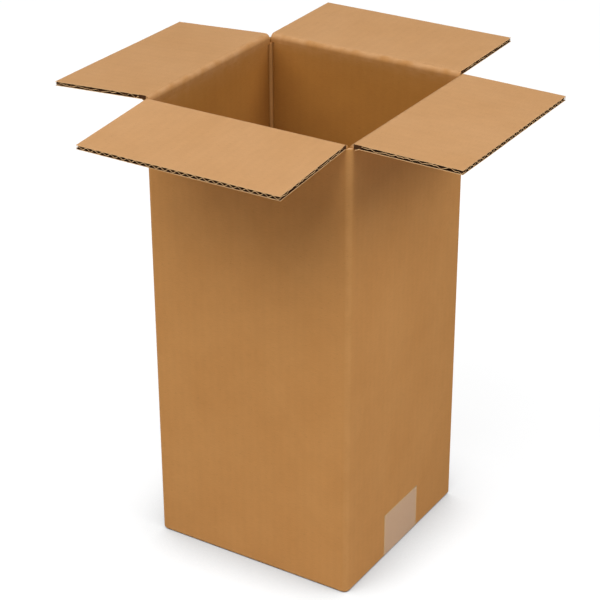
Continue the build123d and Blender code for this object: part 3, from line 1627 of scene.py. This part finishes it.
    def cut(self, sheet: SheetMesh, station: Station, column: Section, ends: Sequence[Station]) -> None:
        """Closes a strip's upright end where its neighbour is lower or missing.

        Args:
            sheet: the mesh being made.
            station: the strip's end station.
            column: its rows of points.
            ends: the end stations of all strips.
        """
        outer, inner = column["outer"], column["inner"]
        twins = [other for other in ends if station.meets(other)]
        if not twins:
            sheet.face([*outer, *inner[::-1]], Face.RAW)
        elif twins[0].head[1] < station.head[1] - TINY:
            low = twins[0].head
            outer = [p for p in outer if sheet.points[p].z >= low[0] - ROUNDING]
            inner = [p for p in inner if sheet.points[p].z >= low[1] - ROUNDING]
            sheet.face([*outer, *inner[::-1]], Face.RAW)


@dataclass
class CornerBeads:
    """The pressed beads inside the three scored corners.

    Their tips reach the crease at rest and are pieces of their own, one for each narrow wall.
    """

    sizes: CartonSizes
    board: Board
    bottom: float = 6.0 * MM
    top: float = 331.9 * MM
    tip: float = 335.2 * MM
    bite: float = 0.3 * MM
    swell: float = 0.07 * MM
    swell_wave: float = 16.0 * MM
    uv_step: float = 0.4 * MM
    flat: float = 0.02
    steps: int = 8
    levels: int = 24
    corners: tuple[tuple[Side, int], ...] = ((Side.LEFT, -1), (Side.RIGHT, -1), (Side.LEFT, 1))

    def build(self, finishes: Finishes) -> list[bpy.types.Object]:
        """Makes the beads and their tips.

        Args:
            finishes: the carton's materials.

        Returns:
            The pieces.
        """
        heights = np.linspace(self.bottom, self.top, self.levels + 1)
        pieces = [self.beads(self.corners, heights).build("corner_beads", finishes.board)]
        for side in (Side.LEFT, Side.RIGHT):
            corners = [corner for corner in self.corners if corner[0] is side]
            tips = self.beads(corners, [self.top, self.tip])
            pieces.append(tips.build(side.label + "_bead_tips", finishes.board))
        for piece in pieces:
            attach(piece, CARTON)
        for side, piece in zip((Side.LEFT, Side.RIGHT), pieces[1:]):
            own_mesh(piece)
        return pieces

    def beads(self, corners: Iterable[tuple[Side, int]], heights: Iterable[float]) -> SheetMesh:
        """Makes the beads of some corners, or one length of them.

        Args:
            corners: each corner's narrow wall, and its side along Y.
            heights: the levels at which a bead has a ring of points.

        Returns:
            The mesh.
        """
        sheet = SheetMesh()
        for side, sy in corners:
            sx = 1 if side is Side.RIGHT else -1
            plan = self.plan(sx, sy)
            rings = []
            for z in (float(height) for height in heights):
                ring = []
                for i, (x, y) in enumerate(plan):
                    round_face = 1 < i < len(plan) - 1
                    swell = self.swell * ripple((x, y, z), self.swell_wave) if round_face else 0.0
                    ring.append(sheet.point((x - sx * swell, y - sy * swell, z), (i * self.uv_step, z)))
                rings.append(ring)
            # The beads take the lighter outer finish, not the lining of the walls round them: a painted
            # highlight on each bead.
            sheet.tube(rings, Face.OUTSIDE)
            sheet.face(rings[0][::-1], Face.OUTSIDE)
            sheet.face(rings[-1], Face.OUTSIDE)
        return sheet

    def plan(self, sx: int, sy: int) -> list[Vector]:
        """A bead seen from above: a quarter round, whose back bites into both walls.

        Args:
            sx: side of the corner along X.
            sy: side of the corner along Y.

        Returns:
            The plan's points.
        """
        radius, bite, t = self.sizes.bead_radius, self.bite, self.board.thickness
        angles = np.linspace(0.0, math.pi / 2, self.steps + 1)
        points = [(bite, bite), (-radius, bite)]
        points += [(-radius * math.cos(a), -radius * math.sin(a)) for a in angles]
        points.append((bite, -radius))
        corner = Vector((sx * (self.sizes.width / 2 - t), sy * (self.sizes.depth / 2 - t)))
        return [corner + Vector((sx * x, sy * y)) for x, y in points]


@dataclass
class GlueTab:
    """The side tab glued inside the right wall: two liners and a core between them, tapered at both ends."""

    sizes: CartonSizes
    board: Board
    root: float = 0.3 * MM
    open_edge: float = 0.5 * MM
    steps: int = 10
    levels: int = 16

    def build(self, finishes: Finishes) -> list[bpy.types.Object]:
        """Makes the tab.

        Args:
            finishes: the carton's materials.

        Returns:
            The piece.
        """
        sheet = SheetMesh()
        t, liner = self.board.thickness, self.board.outer_liner
        face = self.sizes.width / 2 - t
        self.layer(sheet, face - t, face - t + liner, 0.0, Face.LINING)
        self.layer(sheet, face - t + liner, face - liner, self.open_edge, Face.RAW)
        self.layer(sheet, face - liner, face, 0.0, Face.OUTSIDE)
        piece = sheet.build("glued_tab", finishes.board)
        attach(piece, CARTON)
        return [piece]

    def layer(self, sheet: SheetMesh, low: float, high: float, inset: float, slot: Face) -> None:
        """Adds one layer of the board.

        Args:
            sheet: the mesh being made.
            low: its inner face, along X.
            high: its outer face, along X.
            inset: how far its cut edges are sunk.
            slot: the finish of its faces.
        """
        sizes, t, radius = self.sizes, self.board.thickness, self.sizes.fold_radius
        back = sizes.depth / 2 - t
        centre = (sizes.width / 2 - t - radius, sizes.depth / 2 - radius)
        run = sizes.wall_start(Side.BACK) + sizes.width / 2
        rings = []
        for y in np.linspace(back + self.root, back - sizes.tab_width + inset, self.steps + 1):
            share = min(1.0, max(0.0, (back - y) / sizes.tab_width))
            foot, head = (a + share * (b - a) for a, b in (sizes.tab_low, sizes.tab_high))
            heights = [float(z) for z in np.linspace(foot + inset, head - inset, self.levels + 1)]
            limit = centre[0] + math.sqrt(radius**2 - max(0.0, y - centre[1]) ** 2)
            ring = []
            for x, levels in ((min(low, limit), heights), (min(high, limit), heights[::-1])):
                ring += [sheet.point((x, y, z), (run + back - y, z)) for z in levels]
            rings.append(ring)
        sheet.tube(rings, slot)
        for ring in (rings[0], rings[-1]):
            sheet.face(ring, Face.RAW)


@dataclass
class TopFlaps:
    """The four top flaps and their bends."""

    sizes: CartonSizes
    board: Board
    seed: float = 3.0
    liner_run: float = 0.1 * MM
    least_slope: float = 0.01

    def build(self, finishes: Finishes) -> list[bpy.types.Object]:
        """Makes the flaps one after another.

        Args:
            finishes: the carton's materials.

        Returns:
            The pieces.
        """
        pieces = []
        for side, hinge in self.sizes.hinges.items():
            pieces += self.flap(hinge).build(finishes, side.flap)
            pieces += Bend(hinge, self.sizes, self.board).build(finishes)
        return pieces

    def flap(self, hinge: Hinge) -> FlapBoard:
        """Sizes a flap, whose heel runs down along the mitre to the crease.

        Args:
            hinge: the flap's hinge.

        Returns:
            The flap.
        """
        sizes, liner = self.sizes, self.board.outer_liner
        crease = Vector((sizes.hinge_gap + sizes.mitre_gap, sizes.hinge_gap))
        bottom = Vector((2 * hinge.lift + sizes.mitre_gap, hinge.lift))
        slope = (bottom - crease).normalized()
        start = crease + Vector((-slope.y, slope.x)) * liner
        inset = start + slope * ((start.y + sizes.mitre_gap - start.x) / (slope.x - slope.y))
        level = hinge.lift + liner
        run = (level - inset.y) * slope.x / max(slope.y, self.least_slope)
        return FlapBoard(
            name=hinge.side.flap,
            body=hinge.side.flap,
            place=hinge.flap_place(),
            width=hinge.width,
            length=hinge.length,
            lift=hinge.lift,
            heel_top=hinge.lift + self.board.thickness + sizes.mitre_gap,
            heel=[tuple(inset), tuple(crease), tuple(bottom)],
            liner_line=[(inset.x + max(self.liner_run, run), level)],
            board=self.board,
            uv_start=(sizes.wall_start(hinge.side), sizes.score),
            seed=self.seed,
        )


@dataclass
class BottomFlaps:
    """The four folded bottom flaps: the outer pair on the floor, the inner pair on them."""

    sizes: CartonSizes
    board: Board
    seed: float = 8.0
    flute_end_inset: float = 0.2 * MM

    def build(self, finishes: Finishes) -> list[bpy.types.Object]:
        """Makes the flaps one after another.

        Args:
            finishes: the carton's materials.

        Returns:
            The pieces.
        """
        pieces = []
        for hinge in self.sizes.hinges.values():
            pieces += self.flap(hinge).build(finishes)
        return pieces

    def flap(self, hinge: Hinge) -> FlapBoard:
        """Sizes the bottom flap of a wall.

        Args:
            hinge: the hinge of the wall's top flap.

        Returns:
            The bottom flap.
        """
        sizes, side, t = self.sizes, hinge.side, self.board.thickness
        floor = sizes.film_gap if side.is_wide else t + sizes.layer_gap
        inside = hinge.distance - t
        length = inside - (hinge.distance - hinge.length)
        place = side.turn() @ Matrix.Translation((inside, 0.0, floor)) @ Matrix.Rotation(math.pi, 4, "Z")
        return FlapBoard(
            name=side.label + "_bottom",
            body=CARTON,
            place=place,
            width=sizes.span(side) - 2 * t - 2 * sizes.side_gap,
            length=length,
            lift=0.0,
            heel_top=0.0,
            heel=[(0.0, self.board.outer_liner), (0.0, 0.0)],
            liner_line=[],
            board=self.board,
            uv_start=(sizes.wall_start(side), -length),
            seed=self.seed,
            upper=Face.LINING,
            bow=0.0,
            flute_end_inset=self.flute_end_inset,
        )


# Tape


@dataclass
class Tape:
    """Clear tape along the bottom seam, turned up both narrow walls, with a dispenser's saw-toothed ends."""

    sizes: CartonSizes
    film: float = 0.07 * MM
    tooth: float = 1.7 * MM
    tooth_depth: float = 0.55 * MM
    rim: float = 2.2 * MM
    end: float = 36.5 * MM
    waviness: float = 0.008 * MM
    wave_size: float = 9.0 * MM
    wave_layer: float = 0.2
    wave_rest: float = 1.3
    bedding: float = 0.023 * MM
    columns: int = 112
    end_rows: int = 9
    bend_rows: int = 7
    seam_rows: int = 20

    def build(self, finishes: Finishes) -> list[bpy.types.Object]:
        """Makes the tape.

        Args:
            finishes: the carton's materials.

        Returns:
            The piece.
        """
        low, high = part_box("bottom_tape")
        width = high.y - low.y
        sheet = SheetMesh()
        path = self.path()
        rings = []
        for along in np.linspace(-width / 2, width / 2, self.columns + 1):
            notch = self.tooth_depth * abs(2 * ((along / self.tooth) % 1.0) - 1)
            ring = []
            for (x, z), (nx, nz), run in path:
                drop = notch if z > self.end - TINY else 0.0
                wave = ripple((run, along, self.wave_layer), self.wave_size)
                lift = self.waviness * (self.wave_rest + wave)
                inward = min(width / 2 - abs(along), run, path[-1][2] - run)
                # Points near the tape's edges get the lighter edge colour, a painted highlight.
                rim = max(0.0, 1.0 - inward / self.rim)
                pair = []
                for rise in (lift + self.film, lift):
                    place = (x + nx * rise, along, z + nz * rise - drop)
                    pair.append(sheet.point(place, (run, along), rim))
                ring.append(pair)
            rings.append(ring)
        for a, b in zip(rings, rings[1:]):
            for i in range(len(path) - 1):
                sheet.face([a[i][0], a[i + 1][0], b[i + 1][0], b[i][0]], Face.INSIDE)
                sheet.face([a[i][1], b[i][1], b[i + 1][1], a[i + 1][1]], Face.INSIDE)
            for i in (0, -1):
                sheet.face([a[i][0], b[i][0], b[i][1], a[i][1]], Face.INSIDE)
        for ring in (rings[0], rings[-1]):
            for p, q in zip(ring, ring[1:]):
                sheet.face([p[0], q[0], q[1], p[1]], Face.INSIDE)
        piece = sheet.build("bottom_film", finishes.film)
        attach(piece, CARTON)
        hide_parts("bottom_tape")
        return [piece]

    def path(self) -> list[tuple[Point, Point, float]]:
        """The tape's line over the board, seen from the front, from the right end to the left end.

        Returns:
            Places (x, z), outward directions and distances along the tape.
        """
        half, radius, gap = self.sizes.width / 2, self.sizes.foot_radius, self.sizes.film_gap
        rows: list[tuple[Point, Point]] = []
        upright = np.linspace(self.end - self.rim, gap + radius, self.end_rows)
        for z in (self.end, self.end - self.rim / 2, *upright):
            rows.append(((half, float(z)), (1.0, 0.0)))
        for a in np.linspace(0.0, -math.pi / 2, self.bend_rows)[1:]:
            out = (math.cos(a), math.sin(a))
            rows.append(((half - radius + radius * out[0], gap + radius + radius * out[1]), out))
        rows = [((x, max(z, self.film + self.bedding)), out) for (x, z), out in rows]
        under = rows[-1][0][1]
        for x in np.linspace(half - radius, 0.0, self.seam_rows)[1:]:
            rows.append(((float(x), under), (0.0, -1.0)))
        rows += [((-x, z), (-nx, nz)) for (x, z), (nx, nz) in rows[-2::-1]]
        made = []
        run = 0.0
        before = rows[0][0]
        for place, out in rows:
            run += math.dist(place, before)
            made.append((place, out, run))
            before = place
        return made


# Studio


def towards(azimuth: float, elevation: float) -> Vector:
    """Direction from the carton to a lamp or camera. Azimuth 0 stands before the front wall.

    Args:
        azimuth: the turn towards the right wall, in degrees.
        elevation: the height above the floor, in degrees.

    Returns:
        The direction, of length 1.
    """
    a, e = math.radians(azimuth), math.radians(elevation)
    return Vector((math.sin(a) * math.cos(e), -math.cos(a) * math.cos(e), math.sin(e)))


@dataclass(frozen=True)
class Lamp:
    """One soft round lamp, aimed at the middle of the carton."""

    name: str
    azimuth: float
    elevation: float
    power: float
    distance: float = 3.0
    size: float = 2.0
    target: tuple[float, float, float] = (0.0, 0.0, 0.17)

    def build(self) -> None:
        """Adds the lamp."""
        data = bpy.data.lights.new(self.name, "AREA")
        data.shape = "DISK"
        data.size = self.size
        data.energy = self.power
        away = towards(self.azimuth, self.elevation)
        made = add_object(self.name, data)
        made.location = Vector(self.target) + away * self.distance
        made.rotation_euler = (-away).to_track_quat("-Z", "Y").to_euler()


@dataclass
class Studio:
    """White floor and surround, soft lamps, and the camera of the photograph."""

    floor_size: float = 12.0
    floor_colour: Colour = (0.22, 0.226, 0.23)
    floor_bounce: Colour = (0.62, 0.62, 0.62)
    floor_glow: float = 0.85
    shadow_reach: float = 0.06
    shadow_depth: float = 1.3
    shadow_curve: float = 1.5
    shadow_samples: int = 8
    ambient: float = 0.09
    lamps: tuple[Lamp, ...] = (
        Lamp("left_lamp", azimuth=-35.0, elevation=42.0, power=40.0),
        Lamp("high_lamp", azimuth=10.0, elevation=60.0, power=53.0),
        Lamp("right_lamp", azimuth=100.0, elevation=42.0, power=54.0),
    )
    image: float = 600.0
    sensor: float = 36.0
    focal: float = 1870.77
    middle: Point = (307.28, 323.54)
    azimuth: float = 31.839
    elevation: float = 27.899
    roll: float = -0.106
    distance: float = 1.343326
    target: tuple[float, float, float] = (0.0, 0.0, 0.159769)

    def build(self) -> None:
        """Adds floor, surround, lamps and camera."""
        self.floor()
        self.surround()
        for lamp in self.lamps:
            lamp.build()
        self.camera()
        bpy.context.scene.view_settings.view_transform = "Standard"

    def floor(self) -> None:
        """Adds the white floor: it glows a little to the camera, so that only the shadow stands out; near the
        carton ambient occlusion dims the glow, a painted contact shadow.
        """
        half = self.floor_size / 2
        corners = [(-half, -half, 0), (half, -half, 0), (half, half, 0), (-half, half, 0)]
        mesh = bpy.data.meshes.new("floor")
        mesh.from_pydata(corners, [], [(0, 1, 2, 3)])
        floor = add_object("floor", mesh)
        material, tree = new_material("floor_white")
        seen = tree.add("ShaderNodeLightPath").outputs["Is Camera Ray"]
        shade = tree.blend(seen, self.floor_bounce, self.floor_colour)
        matt = tree.add("ShaderNodeBsdfDiffuse", {"Color": shade})
        # Ambient occlusion dims the floor's glow near the carton: a painted contact shadow.
        sky = tree.add(
            "ShaderNodeAmbientOcclusion", {"Distance": self.shadow_reach}, samples=self.shadow_samples
        ).outputs["AO"]
        hidden = tree.math("POWER", tree.math("SUBTRACT", 1.0, sky), self.shadow_curve)
        lit = tree.math("MULTIPLY_ADD", hidden, -self.shadow_depth * self.floor_glow, self.floor_glow)
        glow = tree.add("ShaderNodeEmission", {"Strength": tree.math("MULTIPLY", seen, lit)})
        both = tree.add("ShaderNodeAddShader", {0: matt.outputs[0], 1: glow.outputs[0]})
        tree.add("ShaderNodeOutputMaterial", {"Surface": both.outputs[0]})
        mesh.materials.append(material)

    def surround(self) -> None:
        """Sets the world: even light on the carton, plain white to the camera."""
        world = bpy.data.worlds.new("white_surround")
        bpy.context.scene.world = world
        world.use_nodes = True
        tree = NodeTree(world.node_tree)
        seen = tree.add("ShaderNodeLightPath").outputs["Is Camera Ray"]
        strength = tree.math("MULTIPLY_ADD", seen, 1.0 - self.ambient, self.ambient)
        light = tree.add("ShaderNodeBackground", {"Color": (1.0, 1.0, 1.0, 1.0), "Strength": strength})
        tree.add("ShaderNodeOutputWorld", {"Surface": light.outputs[0]})

    def camera(self) -> None:
        """Adds the camera at the photograph's viewing angle."""
        data = bpy.data.cameras.new("photo_camera")
        data.sensor_width = self.sensor
        data.lens = self.focal / self.image * self.sensor
        data.shift_x = -(self.middle[0] - self.image / 2) / self.image
        data.shift_y = (self.middle[1] - self.image / 2) / self.image
        a, r = math.radians(self.azimuth), math.radians(self.roll)
        back = towards(self.azimuth, self.elevation)
        right = Vector((math.cos(a), math.sin(a), 0.0))
        up = back.cross(right)
        right, up = right * math.cos(r) + up * math.sin(r), up * math.cos(r) - right * math.sin(r)
        turn = Matrix((right, up, back)).transposed().to_4x4()
        camera = add_object("photo_camera", data)
        camera.matrix_world = Matrix.Translation(Vector(self.target) + back * self.distance) @ turn
        bpy.context.scene.camera = camera


# Assembly


def main() -> None:
    """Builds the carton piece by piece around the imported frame."""
    logging.basicConfig(level=logging.INFO, format="%(name)s: %(message)s")
    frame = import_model()
    board = Board()
    sizes = CartonSizes.from_frame(frame)
    finishes = Finishes()
    finishes.make()
    assemblies = (
        WallSheet(sizes, board),
        CornerBeads(sizes, board),
        GlueTab(sizes, board),
        BottomFlaps(sizes, board),
        TopFlaps(sizes, board),
        Tape(sizes),
    )
    for assembly in assemblies:
        for piece in assembly.build(finishes):
            LOG.info("%s: %d faces", piece.name, len(piece.data.polygons))
    Studio().build()


if __name__ == "__main__":
    main()
